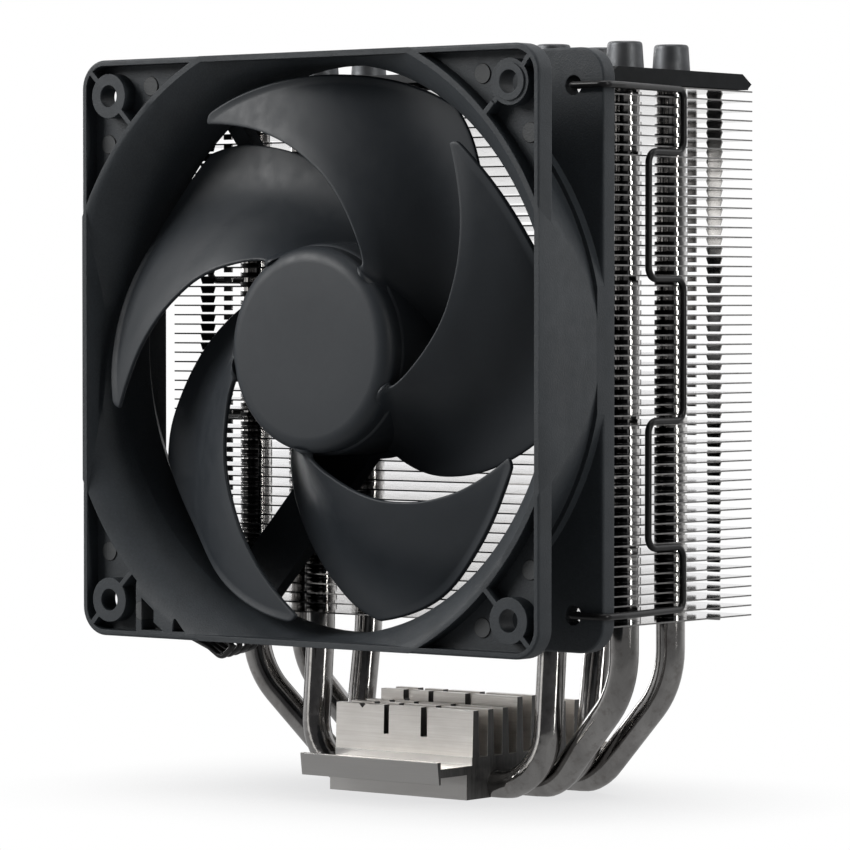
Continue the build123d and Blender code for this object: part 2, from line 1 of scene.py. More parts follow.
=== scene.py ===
# A tower CPU cooler: a finned heatsink on four U-shaped heat pipes, with a fan held to its
# front by two wire clips.  The cooler stands on z = 0, its width runs along x, the fan faces
# -y and its axis lies along y.  Meshes are written in millimetres, the scene is in metres.
import bpy
import bmesh
import math
import numpy as np
from functools import cached_property
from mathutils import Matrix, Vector


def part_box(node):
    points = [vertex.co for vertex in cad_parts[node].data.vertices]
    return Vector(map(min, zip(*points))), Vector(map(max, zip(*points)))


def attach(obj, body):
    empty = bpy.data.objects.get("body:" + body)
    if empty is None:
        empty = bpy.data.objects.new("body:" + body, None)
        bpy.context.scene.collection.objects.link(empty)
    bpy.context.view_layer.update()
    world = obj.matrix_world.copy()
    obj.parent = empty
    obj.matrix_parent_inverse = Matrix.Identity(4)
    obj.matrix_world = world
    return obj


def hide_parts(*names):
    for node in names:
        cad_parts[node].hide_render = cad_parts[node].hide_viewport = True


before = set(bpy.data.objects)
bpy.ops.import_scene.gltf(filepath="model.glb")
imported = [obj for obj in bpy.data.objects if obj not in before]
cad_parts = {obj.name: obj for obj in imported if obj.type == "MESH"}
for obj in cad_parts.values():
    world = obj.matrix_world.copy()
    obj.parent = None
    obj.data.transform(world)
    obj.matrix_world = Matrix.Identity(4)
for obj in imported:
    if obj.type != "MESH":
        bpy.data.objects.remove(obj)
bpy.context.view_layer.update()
MM = 0.001
scene = bpy.context.scene

# horizontal directions of the camera
VIEW_FORWARD = (-0.6436, 0.7654, 0.0)
VIEW_RIGHT = (0.7654, 0.6436, 0.0)

# fan sizes read from the CAD, mm
fan_low, fan_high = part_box("fan_frame")
FAN_FRONT = fan_low.y / MM
FAN_AXIS_Z = (fan_low.z + fan_high.z) / 2 / MM
FAN_DEPTH = 25.0
rotor_low, rotor_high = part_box("fan_impeller")
TIP_R = min((rotor_high.z - rotor_low.z) / 2 / MM, 55.6) + 0.25

# heat pipes, mm
PIPE_R = 3.0
INNER_PIPE_X = 30.9
OUTER_PIPE_X = 49.0
PIPE_ROW_Y = 8.05                    # upright legs stand at plus and minus this


# ---------------------------------------------------------------- shader graphs
class Graph:
    """Node graph of a material or world. Sizes are mm; values may be numbers or sockets."""

    INPUTS = {"color": "Base Color", "rough": "Roughness", "metal": "Metallic",
              "spec": "Specular IOR Level", "normal": "Normal", "aniso": "Anisotropic"}

    def __init__(self, owner, output="ShaderNodeOutputMaterial"):
        self.owner = owner
        owner.use_nodes = True
        self.tree = owner.node_tree
        self.tree.nodes.clear()
        self.output = self.add(output)

    def add(self, kind, **settings):
        node = self.tree.nodes.new(kind)
        for key, value in settings.items():
            setattr(node, key, value)
        return node

    def put(self, socket, value):
        if isinstance(value, bpy.types.NodeSocket):
            self.tree.links.new(value, socket)
        elif socket.type == "RGBA":
            socket.default_value = (*value, 1)
        else:
            socket.default_value = value

    @cached_property
    def coords(self):
        return self.add("ShaderNodeTexCoord").outputs

    @cached_property
    def position(self):
        return self.separate(self.coords["Object"])

    @cached_property
    def normal(self):
        return self.separate(self.add("ShaderNodeNewGeometry").outputs["True Normal"])

    def separate(self, vector):
        node = self.add("ShaderNodeSeparateXYZ")
        self.put(node.inputs[0], vector)
        return node.outputs

    def noise(self, size, detail=2.0, rough=0.5, stretch=(1, 1, 1), distortion=0.0):
        """Noise with features about size across."""
        mapping = self.add("ShaderNodeMapping")
        mapping.inputs["Scale"].default_value = stretch
        self.put(mapping.inputs[0], self.coords["Object"])
        node = self.add("ShaderNodeTexNoise")
        node.inputs["Scale"].default_value = 1.0 / (size * MM)
        node.inputs["Detail"].default_value = detail
        node.inputs["Roughness"].default_value = rough
        node.inputs["Distortion"].default_value = distortion
        self.put(node.inputs["Vector"], mapping.outputs[0])
        return node.outputs["Fac"]

    def remap(self, value, low=0, high=1, span=(0.3, 0.7)):
        """Maps span onto low..high."""
        node = self.add("ShaderNodeMapRange")
        for socket, setting in zip(node.inputs, (value, *span, low, high)):
            self.put(socket, setting)
        return node.outputs[0]

    def patchy(self, low=0, high=1, span=(0.3, 0.7), **noise):
        return self.remap(self.noise(**noise), low, high, span)

    def mix(self, factor, first, second):
        node = self.add("ShaderNodeMix", data_type="RGBA")
        self.put(node.inputs[0], factor)
        self.put(node.inputs[6], first)
        self.put(node.inputs[7], second)
        return node.outputs[2]

    def math(self, operation, a, b=0.0):
        node = self.add("ShaderNodeMath", operation=operation)
        self.put(node.inputs[0], a)
        self.put(node.inputs[1], b)
        return node.outputs[0]

    def plus(self, a, b):
        return self.math("ADD", a, b)

    def minus(self, a, b):
        return self.math("SUBTRACT", a, b)

    def times(self, a, b):
        return self.math("MULTIPLY", a, b)

    def below(self, a, b):
        return self.math("LESS_THAN", a, b)

    def distance(self, a, b):
        return self.math("ABSOLUTE", self.minus(a, b))

    def facing(self, axis):
        """1 where the surface faces either way along the axis."""
        return self.math("GREATER_THAN", self.math("ABSOLUTE", self.normal[axis]), 0.7)

    def bump(self, height, depth, normal=None):
        """Bump whose full height is depth."""
        node = self.add("ShaderNodeBump")
        node.inputs["Strength"].default_value = 1.0
        node.inputs["Distance"].default_value = depth * MM
        self.put(node.inputs["Height"], height)
        if normal is not None:
            self.put(node.inputs["Normal"], normal)
        return node.outputs[0]

    def soft(self, radius):
        """Normal with edges softened by radius."""
        node = self.add("ShaderNodeBevel", samples=4)
        node.inputs[0].default_value = radius * MM
        return node.outputs[0]

    def surface(self, **values):
        """Principled surface on the output; returns the material."""
        shader = self.add("ShaderNodeBsdfPrincipled")
        for key, value in values.items():
            self.put(shader.inputs[self.INPUTS[key]], value)
        self.put(self.output.inputs[0], shader.outputs[0])
        return self.owner

    def glow(self, kind, color):
        node = self.add(kind)
        self.put(node.inputs[0], color)
        return node.outputs[0]

    def split_camera(self, unseen, seen):
        """Output one shader to camera rays and the other to all the rest."""
        node = self.add("ShaderNodeMixShader")
        self.put(node.inputs[0], self.add("ShaderNodeLightPath").outputs["Is Camera Ray"])
        self.put(node.inputs[1], unseen)
        self.put(node.inputs[2], seen)
        self.put(self.output.inputs[0], node.outputs[0])


def new_material(name):
    return Graph(bpy.data.materials.new(name))


def scaled(color, factor):
    return tuple(min(1, c * factor) for c in color)


# ---------------------------------------------------------- families of material
def speckled(m, color, low, high, cloud, fleck, fleck_share):
    """Colour varied between two brightnesses by broad clouds and fine flecks."""
    broad = m.patchy(size=cloud, detail=3)
    fine = m.patchy(size=fleck, rough=0.6, span=(0.25, 0.75))
    blend = m.plus(m.times(broad, 1 - fleck_share), m.times(fine, fleck_share))
    return m.mix(blend, scaled(color, low), scaled(color, high))


def plastic(name, color, rough=0.45, grain=0.32, depth=0.012, edge=0.25, vary=0.12,
            spec=0.5, cloud=9.0):
    """Moulded plastic; grain is the texture size, edge the softening radius."""
    m = new_material(name)
    normal = m.bump(m.noise(size=grain, rough=0.65), depth, m.soft(edge) if edge else None)
    return m.surface(
        color=speckled(m, color, low=1 - vary, high=1 + vary, cloud=cloud,
                       fleck=grain * 1.3, fleck_share=0.5),
        rough=m.patchy(rough - 0.04, rough + 0.05, size=3.0), spec=spec, normal=normal)


def metal(name, color, rough=0.3, vary=0.1, stretch=(1, 1, 1), size=1.5, depth=0.002):
    """Metal with one noise for both tint and bump; a small stretch draws it out."""
    m = new_material(name)
    marks = m.noise(size=size, detail=3, rough=0.6, stretch=stretch)
    return m.surface(
        color=m.mix(m.remap(marks), scaled(color, 1 - vary), scaled(color, 1 + vary)),
        rough=m.patchy(rough * 0.8, rough * 1.25, size=size * 2.3, rough=0.6, stretch=stretch),
        metal=1.0, normal=m.bump(marks, depth))


# ------------------------------------------------------------ special materials
def frame_plastic():
    """Textured fan frame with paler ejector discs in the front corner pockets."""
    disc_centres = ((0.0436, 0.0544), (0.0554, 0.0426))   # |x|, |z| from the fan axis, m
    disc_r = 0.00188
    ring_r, ring_half_width = 0.00197, 0.00009
    disc_depth = 0.0045                                   # how far back from the front face
    m = new_material("fan_plastic_textured")
    corners = np.array([tuple(v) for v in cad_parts["fan_frame"].bound_box])
    low, high = corners.min(axis=0), corners.max(axis=0)
    middle = (low + high) / 2
    x = m.distance(m.position[0], float(middle[0]))
    z = m.distance(m.position[2], float(middle[2]))
    nearest = None
    for centre_x, centre_z in disc_centres:
        dx = m.minus(x, centre_x)
        dz = m.minus(z, centre_z)
        away = m.math("SQRT", m.plus(m.times(dx, dx), m.times(dz, dz)))
        nearest = away if nearest is None else m.math("MINIMUM", nearest, away)
    front = m.below(m.position[1], float(low[1]) + disc_depth)
    disc = m.times(m.below(nearest, disc_r), front)
    ring = m.times(m.below(m.distance(nearest, ring_r), ring_half_width), front)
    color = speckled(m, (0.0285, 0.0340, 0.0395), low=0.74, high=1.30, cloud=9.0,
                     fleck=0.5, fleck_share=0.6)
    color = m.mix(disc, color, (0.060, 0.064, 0.067))
    color = m.mix(ring, color, (0.012, 0.013, 0.014))
    return m.surface(color=color, rough=m.patchy(0.52, 0.61, size=3.0), spec=0.42,
                     normal=m.bump(m.noise(size=0.38, rough=0.65), 0.060, m.soft(0.16)))


def pipe_material():
    """Black nickel on a bent tube: dark, glossy, a little cloudy and finely drawn."""
    m = new_material("pipe_black_nickel")
    cloud = m.patchy(span=(0.32, 0.68), size=7.0, detail=4, rough=0.6, stretch=(1, 1, 0.5),
                     distortion=0.6)
    stain = m.patchy(0, 0.55, span=(0.52, 0.78), size=2.2, detail=3, rough=0.7)
    color = m.mix(cloud, (0.250, 0.243, 0.238), (0.390, 0.382, 0.374))
    color = m.mix(stain, color, (0.135, 0.117, 0.104))
    drawn = m.bump(m.noise(size=0.45, stretch=(1, 1, 0.02)), 0.004)
    return m.surface(
        color=color,
        rough=m.patchy(0.07, 0.19, span=(0.3, 0.75), size=2.6, detail=4, rough=0.65),
        metal=1.0, normal=m.bump(m.noise(size=3.2, stretch=(1, 1, 0.4)), 0.05, drawn))


def fin_material():
    """Plated sheet: satin faces, cut edges at the sides, main tabs at the ends darkened by
    painted shade.
    """
    first_fin_z, fin_pitch = 0.0371, 0.002                # m
    edge_share = 0.22                                     # sheet thickness over pitch
    narrow_tab_y, narrow_tab_reach = 0.0247, 0.00025      # m
    m = new_material("fin_plated_sheet")
    level = m.math("DIVIDE", m.minus(m.position[2], first_fin_z), fin_pitch)
    in_sheet = m.below(m.math("FRACT", level), edge_share)
    side, end = m.facing(0), m.facing(1)
    cut = m.times(in_sheet, m.plus(side, m.times(end, 0.35)))
    face_color = m.mix(m.patchy(size=5.0, detail=3), (0.52, 0.51, 0.50), (0.64, 0.63, 0.62))
    cut_color = m.mix(m.patchy(size=0.9, detail=3, rough=0.7),
                      (0.16, 0.157, 0.155), (0.30, 0.295, 0.29))
    # painted shade darkens the main tabs, deep between the fins, to near black; the narrow ones
    # stay pale
    from_tab = m.distance(m.math("ABSOLUTE", m.position[1]), narrow_tab_y)
    narrow_tab = m.below(from_tab, narrow_tab_reach)
    shaded_main_tab = m.times(m.times(end, m.minus(1.0, in_sheet)), m.minus(1.0, narrow_tab))
    color = m.mix(shaded_main_tab, m.mix(cut, face_color, cut_color), (0.022, 0.022, 0.023))
    rough = m.plus(m.patchy(0.07, 0.13, size=1.6, detail=3), m.times(cut, 0.26))
    rough = m.plus(rough, m.times(shaded_main_tab, 0.36))
    waves = m.noise(size=2.5, detail=3, rough=0.6, stretch=(1, 0.15, 1))
    return m.surface(color=color, rough=rough, metal=1.0, normal=m.bump(waves, 0.006))


def base_material():
    """Bare extruded aluminium: drawn lines along x, sawn end faces darkened by painted shade,
    slightly soft edges.
    """
    foot_top = 0.0087                                     # m
    m = new_material("bare_extruded_aluminium")
    end = m.facing(0)
    lines = m.noise(size=0.30, detail=4, rough=0.7, stretch=(0.02, 1, 1))
    saw = m.noise(size=0.5, detail=4, rough=0.75, stretch=(1, 1, 0.06))
    cloud = m.patchy(0, 0.35, size=6.0, detail=3, rough=0.55, stretch=(0.5, 1, 1))
    color = m.mix(m.remap(lines), (0.84, 0.805, 0.765), (0.99, 0.965, 0.93))
    color = m.mix(m.times(cloud, 1.0), color, (0.56, 0.525, 0.49))
    # painted shade: the end faces get a near-black colour, flecked by the saw marks
    sawn_and_shaded_end_color = m.mix(m.remap(saw), (0.07, 0.07, 0.07), (0.14, 0.138, 0.135))
    color = m.mix(end, color, sawn_and_shaded_end_color)
    # painted shade: darker front and back faces low down on the block
    painted_shade_foot = m.times(m.below(m.position[2], foot_top), m.facing(1))
    color = m.mix(m.times(painted_shade_foot, 0.85), color, (0.42, 0.415, 0.41))
    rough = m.patchy(0.30, 0.44, size=1.2, detail=3, rough=0.6, stretch=(0.05, 1, 1))
    relief = m.plus(m.times(lines, m.minus(1.0, end)), m.times(saw, end))
    return m.surface(color=color, rough=m.plus(rough, m.times(end, 0.08)), metal=1.0,
                     normal=m.bump(relief, 0.012, m.soft(0.18)), aniso=0.4)


def cap_material():
    m = new_material("cap_satin_black_nickel")
    color = m.mix(m.patchy(size=4.0, detail=3), (0.095, 0.099, 0.105), (0.135, 0.139, 0.145))
    return m.surface(color=color, rough=m.patchy(0.44, 0.56, size=1.1, detail=3), metal=0.9,
                     normal=m.bump(m.noise(size=0.28), 0.006))


def cover_material():
    m = new_material("cover_black_anodised")
    color = m.mix(m.patchy(size=6.0, detail=3),
                  (0.0075, 0.0085, 0.0095), (0.0120, 0.0135, 0.0150))
    rough = m.patchy(0.44, 0.54, size=1.5, detail=3, rough=0.6, stretch=(0.1, 1, 1))
    brushed = m.noise(size=0.35, detail=3, rough=0.6, stretch=(0.04, 1, 1))
    return m.surface(color=color, rough=rough, spec=0.10,
                     normal=m.bump(brushed, 0.006, m.soft(0.15)))


def wire_material():
    m = new_material("clip_wire_black")
    color = m.mix(m.patchy(size=2.5, detail=3), (0.006, 0.006, 0.007), (0.012, 0.0115, 0.0115))
    return m.surface(color=color, rough=m.patchy(0.28, 0.36, size=1.0, detail=3), spec=0.32)


MATERIALS = {
    "frame": frame_plastic(),
    "impeller": plastic("fan_plastic_satin", (0.0255, 0.0305, 0.0365), rough=0.48, grain=0.5,
                        depth=0.010, edge=0.0, vary=0.07, spec=0.42),
    "pads": plastic("pad_rubber", (0.018, 0.018, 0.019), rough=0.75, grain=0.3, depth=0.02,
                    edge=0.2),
    "insulator": plastic("motor_insulator", (0.62, 0.60, 0.54), rough=0.5, grain=0.4,
                         edge=0.15, vary=0.05),
    "board": plastic("board_green", (0.02, 0.12, 0.045), rough=0.35, grain=0.8, depth=0.006,
                     edge=0.0, vary=0.2, cloud=3.0),
    "chip": plastic("chip_black", (0.012, 0.012, 0.013), rough=0.55, grain=0.15, edge=0.08),
    "plug": plastic("plug_black", (0.010, 0.010, 0.011), rough=0.38, grain=0.3, depth=0.006,
                    edge=0.15),
    "cable": plastic("cable_sheath", (0.009, 0.009, 0.010), rough=0.36, grain=0.6,
                     depth=0.010, edge=0.0),
    "retainer": plastic("retainer_plastic", (0.5, 0.47, 0.4), rough=0.4, edge=0.05),
    "label": metal("label_foil", (0.55, 0.55, 0.56), rough=0.38, vary=0.05, size=0.6),
    "brass": metal("turned_brass", (0.72, 0.52, 0.22), rough=0.28, stretch=(1, 6, 1), size=0.8),
    "bronze": metal("sintered_bronze", (0.48, 0.31, 0.17), rough=0.5, size=0.25, depth=0.02,
                    vary=0.25),
    "lamination": metal("lamination_steel", (0.35, 0.35, 0.36), rough=0.4,
                        stretch=(0.3, 12, 0.3), size=2.0, depth=0.03),
    "winding": metal("winding_copper", (0.75, 0.30, 0.13), rough=0.3, stretch=(0.3, 0.3, 8),
                     size=1.2, depth=0.06, vary=0.2),
    "wick": metal("wick_copper", (0.62, 0.29, 0.16), rough=0.6, size=0.2, depth=0.04,
                  vary=0.25),
    "tin": metal("terminal_tin", (0.72, 0.72, 0.70), rough=0.25, size=0.8),
    "yoke": metal("yoke_steel", (0.45, 0.45, 0.46), rough=0.32, size=1.2),
    "shaft": metal("ground_shaft", (0.68, 0.68, 0.70), rough=0.14, stretch=(1, 10, 1),
                   size=0.6, depth=0.001),
    "ferrite": plastic("magnet_ferrite", (0.035, 0.032, 0.030), rough=0.6, grain=0.2,
                       edge=0.1, vary=0.25),
    "pipe": pipe_material(),
    "fin": fin_material(),
    "base": base_material(),
    "cap": cap_material(),
    "cover": cover_material(),
    "wire": wire_material(),
}


# -------------------------------------------------------------------- mesh tools
# A shell is a pair: its points in mm and its faces as tuples of point numbers.
def link_object(name, mesh):
    made = bpy.data.objects.new(name, mesh)
    scene.collection.objects.link(made)
    return made


def build(name, shell, material, body, replaces, sharp):
    """Mesh object from a shell, smooth except at edges above sharp degrees."""
    points, faces = shell
    mesh = bpy.data.meshes.new(name)
    mesh.from_pydata([tuple(float(c) * MM for c in p) for p in points], [], faces)
    bm = bmesh.new()
    bm.from_mesh(mesh)
    bmesh.ops.remove_doubles(bm, verts=bm.verts, dist=2e-6)
    bmesh.ops.dissolve_degenerate(bm, edges=bm.edges, dist=1e-6)
    bmesh.ops.recalc_face_normals(bm, faces=bm.faces)
    bm.to_mesh(mesh)
    bm.free()
    mesh.polygons.foreach_set("use_smooth", [True] * len(mesh.polygons))
    mesh.set_sharp_from_angle(angle=math.radians(sharp))
    mesh.materials.append(MATERIALS[material])
    made = link_object(name, mesh)
    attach(made, body)
    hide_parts(replaces)


def merge(shells):
    points, faces = [], []
    for shell_points, shell_faces in shells:
        start = len(points)
        points += list(shell_points)
        faces += [tuple(i + start for i in face) for face in shell_faces]
    return points, faces


def ring_faces(count, n):
    """Quads joining count successive rings of n points."""
    return [(i * n + k, i * n + (k + 1) % n, (i + 1) * n + (k + 1) % n, (i + 1) * n + k)
            for i in range(count - 1) for k in range(n)]


def unit(v):
    return v / np.linalg.norm(v)


def tangents(points):
    steps = np.gradient(points, axis=0)
    return steps / np.linalg.norm(steps, axis=1)[:, None]


def rounded(corners, radii, step, run):
    """Polyline with inner corners turned to arcs of step degrees, straights cut by run mm."""
    corners = [np.array(p, float) for p in corners]
    path = [corners[0]]
    for before, corner, after, radius in zip(corners, corners[1:], corners[2:], radii):
        u, w = unit(before - corner), unit(after - corner)
        angle = math.acos(max(-1, min(1, float(u @ w))))
        setback = radius / math.tan(angle / 2)
        centre = corner + unit(u + w) * (radius / math.sin(angle / 2))
        turn = math.pi - angle
        count = max(3, int(math.ceil(math.degrees(turn) / step)))
        first, last = corner + u * setback - centre, corner + w * setback - centre
        for k in range(count + 1):
            f = k / count
            path.append(centre + (math.sin((1 - f) * turn) * first
                                  + math.sin(f * turn) * last) / math.sin(turn))
    path.append(corners[-1])
    kept = [path[0]]
    for p in path[1:]:
        gap = np.linalg.norm(p - kept[-1])
        if gap < 1e-3:
            continue
        if gap > run:
            cuts = int(gap // run)
            kept += [kept[-1] + (p - kept[-1]) * j / (cuts + 1) for j in range(1, cuts + 1)]
        kept.append(p)
    return np.array(kept)


def tube(path, radius, sides, end_round, radius_at=None, floor=None):
    """Round bar along path. end_round is the end rounding over the radius.

    radius_at(station, angle) varies the radius; floor flattens the bar below that z."""
    angles = np.linspace(0, 2 * math.pi, sides, endpoint=False)
    cos, sin = np.cos(angles), np.sin(angles)
    along = tangents(path)
    across = unit(np.cross(along[0], [0.3, 0.9, 0.31]))
    stations = []
    for p, t in zip(path, along):
        across = unit(across - t * (across @ t))
        stations.append((p, t, across, np.cross(t, across)))
    rim = radius * end_round

    def ring(centre, a, b, r):
        return centre + np.outer(r * cos, a) + np.outer(r * sin, b)

    def end_rings(station, inward, degrees):
        p, t, a, b = station
        return [ring(p + inward * t * (rim * (1 - math.sin(q))), a, b,
                     radius - rim + rim * math.cos(q)) for q in np.radians(degrees)]

    rings = end_rings(stations[0], 1, (90, 60, 30))
    last = len(stations) - 1
    for i, (p, t, a, b) in enumerate(stations):
        if i in (0, last):
            p = p + t * (rim if i == 0 else -rim)
        r = radius
        if radius_at:
            r = np.array([radius_at(i, math.atan2(s, c)) for s, c in zip(sin, cos)])
        rings.append(ring(p, a, b, r))
    rings += end_rings(stations[-1], -1, (30, 60, 90))
    points = np.vstack(rings)
    if floor is not None:
        points[:, 2] = np.maximum(points[:, 2], floor)
    faces = ring_faces(len(rings), sides)
    faces.append(tuple(range(sides))[::-1])
    faces.append(tuple((len(rings) - 1) * sides + k for k in range(sides)))
    return points, faces


def lathe(profile, place, sides):
    """Closed (radius, height) profile turned about an axis; place(r, angle, h) gives a point."""
    points, faces, rows = [], [], []
    for r, h in profile:
        if r < 1e-6:
            rows.append([len(points)] * sides)
            points.append(place(0.0, 0.0, h))
        else:
            rows.append(list(range(len(points), len(points) + sides)))
            points += [place(r, 2 * math.pi * k / sides, h) for k in range(sides)]
    for a, b in zip(rows, rows[1:] + rows[:1]):
        if len(set(a)) == 1 and len(set(b)) == 1:
            continue
        for k in range(sides):
            k2 = (k + 1) % sides
            face = tuple(dict.fromkeys((a[k], a[k2], b[k2], b[k])))
            if len(face) > 2:
                faces.append(face)
    return points, faces


def spline(table):
    """Natural cubic through (x, y) pairs, held constant beyond its ends."""
    x, y = np.array(table, float).T
    n = len(x)
    h = np.diff(x)
    matrix, slopes = np.eye(n), np.zeros(n)
    for i in range(1, n - 1):
        matrix[i, i - 1:i + 2] = h[i - 1], 2 * (h[i - 1] + h[i]), h[i]
        slopes[i] = 6 * ((y[i + 1] - y[i]) / h[i] - (y[i] - y[i - 1]) / h[i - 1])
    m = np.linalg.solve(matrix, slopes)

    def value(q):
        q = min(max(q, x[0]), x[-1])
        i = min(max(int(np.searchsorted(x, q)) - 1, 0), n - 2)
        a, c = x[i + 1] - q, q - x[i]
        return float(m[i] * a ** 3 / (6 * h[i]) + m[i + 1] * c ** 3 / (6 * h[i])
                     + (y[i] / h[i] - m[i] * h[i] / 6) * a
                     + (y[i + 1] / h[i] - m[i + 1] * h[i] / 6) * c)
    return value


# ---------------------------------------------------------------------- impeller
# Blade edges: (radius mm, angle degrees about the fan axis)
FRONT_EDGE = spline([
    (19.5, -28.0), (21.5, -21.5), (23.0, -17.0), (26.0, -7.8), (29.0, -0.2), (32.0, 6.4),
    (35.0, 12.6), (38.0, 19.0), (41.0, 24.8), (44.0, 30.6), (47.0, 36.2), (50.0, 42.0),
    (52.5, 46.5), (54.5, 50.0), (57.5, 55.0)])
REAR_EDGE = spline([
    (19.5, -74.0), (21.5, -71.0), (23.5, -67.5), (28.0, -59.5), (32.0, -52.5), (36.0, -45.0),
    (40.0, -38.0), (45.0, -29.5), (50.0, -21.5), (53.0, -16.5), (55.4, -11.5), (57.5, -7.5)])
# Blade depth: (share of the way from front to rear edge, mm behind the fan's front face)
ROOT_DEPTH = spline([(0, 2.9), (.1, 4.3), (.2, 5.9), (.35, 8.7), (.5, 11.6), (.65, 14.3),
                     (.8, 16.7), (.9, 18.1), (1, 19.2)])
TIP_DEPTH = spline([(0, 3.2), (.08, 3.5), (.19, 4.5), (.32, 6.1), (.45, 8.4), (.57, 11.2),
                    (.66, 13.1), (.81, 14.9), (.97, 15.8), (1, 16.0)])
# Half thickness at the root, mm, at shares of the way from front to rear edge
THICK_AT = [0, 0.06, 0.3, 0.7, 1]
HALF_THICK = [0.62, 0.80, 0.95, 0.82, 0.52]
TIP_THINNING = 0.78                  # tip thickness over root thickness
BLADES = 5
FACE_POINTS, EDGE_STEPS = 44, 7      # points along each face, steps round each edge

HUB_R = 20.95
HUB_FACE_R = 17.6                    # flat front face, before the rounded shoulder
HUB_FRONT = 1.4
SHOULDER_DEPTH = 2.8
ROOT_FILLET = 1.5
BLEND_R = 21.0                       # radius where the root shape starts turning to the tip's


def fan_point(r, angle, depth):
    """Point by radius and angle about the fan axis and depth behind the front face."""
    return (r * math.cos(angle), FAN_FRONT + depth, FAN_AXIS_Z + r * math.sin(angle))


def hub_shell():
    shoulder = [(HUB_FACE_R + (HUB_R - HUB_FACE_R) * math.sin(math.radians(q)),
                 HUB_FRONT + SHOULDER_DEPTH * (1 - math.cos(math.radians(q))))
                for q in range(10, 91, 10)]
    # (radius, depth): front face, shoulder, skirt with its lip, inside of the cup, shaft boss
    profile = [(0, HUB_FRONT), (9, HUB_FRONT), (HUB_FACE_R, HUB_FRONT), *shoulder,
               (HUB_R, 5.9), (21.0, 6.1), (21.38, 6.35), (21.5, 6.6), (21.5, 20.2),
               (21.3, 20.4), (20.3, 20.4), (20.15, 20.25), (20.15, 3.0), (4.2, 3.0),
               (4.2, 5.6), (1.52, 5.6), (1.52, 3.0), (0, 3.0)]
    return lathe(profile, fan_point, 144)


def blade_radii():
    """Section radii, dense through the root fillet and near the tip."""
    fillet = [HUB_R + ROOT_FILLET * (1 - math.cos(math.radians(q)))
              for q in (8, 22, 36, 50, 64, 78, 90)]
    return [20.3, 20.7, *fillet, *np.linspace(HUB_R + ROOT_FILLET + 1.0, 53.2, 34),
            53.5, 53.75, 54.0, 54.3, 54.6, 54.9, 55.1, 55.25, 55.38, 55.48, 55.55, TIP_R]


def front_angle(r):
    """Angle of the front edge, its tip corner rounded at a radius of 1 mm."""
    corner_r = TIP_R - 1.85
    if r <= corner_r:
        return FRONT_EDGE(r)
    centre = corner_r * math.radians(FRONT_EDGE(corner_r)) - 0.522
    return math.degrees((centre + math.sqrt(max(0.0, 1 - (r - (TIP_R - 1.0)) ** 2))) / r)


def blade_ring(r, turn):
    """Closed section at radius r, worked out as (arc length, depth) and wrapped round."""
    start, end = front_angle(r), REAR_EDGE(r)
    tipward = max(0.0, min(1.0, (r - BLEND_R) / (TIP_R - BLEND_R)))
    thickness = (1 - tipward) + TIP_THINNING * tipward
    share = np.linspace(0, 1, 160)
    arc = r * np.radians(start + (end - start) * share)
    depth = np.array([(1 - tipward) * ROOT_DEPTH(q) + tipward * TIP_DEPTH(q) for q in share])
    length = np.concatenate([[0], np.cumsum(np.hypot(np.diff(arc), np.diff(depth)))])

    # resample by length, closer together at both edges
    g = np.linspace(0, 1, FACE_POINTS)
    g = 0.5 * (1 - np.cos(g * math.pi)) * 0.35 + g * 0.65
    inset = HALF_THICK[0] * thickness
    at = inset * 0.7 + g * (length[-1] - inset * 1.2)
    surface = np.column_stack([np.interp(at, length, arc), np.interp(at, length, depth)])
    along = np.gradient(surface, axis=0)
    along /= np.hypot(along[:, 0], along[:, 1])[:, None]
    normal = np.column_stack([along[:, 1], -along[:, 0]])
    half = thickness * np.interp(g, THICK_AT, HALF_THICK)
    middle = surface + normal * half[:, None]

    # thicken through the root fillet, thin to a rounded tip
    if r < HUB_R + ROOT_FILLET:
        rise = max(0.0, r - HUB_R)
        half = half + ROOT_FILLET - math.sqrt(
            max(0.0, ROOT_FILLET ** 2 - (ROOT_FILLET - rise) ** 2))
    tip_round = TIP_R - 0.55
    if r > tip_round:
        half = half * max(0.12, math.sqrt(max(0.0, 1 - ((r - tip_round) / 0.5501) ** 2)))

    def edge(i, side):
        angles = [math.pi * k / EDGE_STEPS for k in range(1, EDGE_STEPS)]
        return [middle[i] - side * normal[i] * half[i] * math.cos(a)
                + side * along[i] * half[i] * math.sin(a) for a in angles]

    offset = normal * half[:, None]
    loop = [*(middle - offset), *edge(-1, 1), *(middle + offset)[::-1], *edge(0, -1)]
    return [fan_point(r, s / r + math.radians(turn), min(max(y, 1.2), 20.9)) for s, y in loop]


def blade(turn):
    rings = [blade_ring(r, turn) for r in blade_radii()]
    n = len(rings[0])
    faces = ring_faces(len(rings), n)
    # close root and tip with strips across the section
    for base in (0, (len(rings) - 1) * n):
        rear_edge = base + FACE_POINTS
        back_start = rear_edge + EDGE_STEPS - 1
        front_edge = back_start + FACE_POINTS
        one = list(range(base, rear_edge))
        other = list(range(back_start, front_edge))[::-1]
        for i in range(FACE_POINTS - 1):
            faces.append((one[i], one[i + 1], other[i + 1], other[i]))
        faces.append((one[-1], *range(rear_edge, back_start), other[-1]))
        faces.append((other[0], *range(front_edge, front_edge + EDGE_STEPS - 1), one[0]))
    return [p for ring in rings for p in ring], faces


build("impeller", merge([hub_shell()] + [blade(360.0 / BLADES * k) for k in range(BLADES)]),
      "impeller", "rotor", "fan_impeller", sharp=40)

# -------------------------------------------------------------------- heat pipes
PIPE_TOP = 152.6
PIPE_BASE_Z = 2.4                    # centre line under the base, below PIPE_R: flattened at 0
RIPPLE = 0.035
# name: (outer pair, side of the centre plane in y, y of the run through the base)
PIPES = {"heat_pipe_front_inner": (False, -1, -10.5), "heat_pipe_front_outer": (True, -1, -3.5),
         "heat_pipe_rear_inner": (False, 1, 3.5), "heat_pipe_rear_outer": (True, 1, 10.5)}


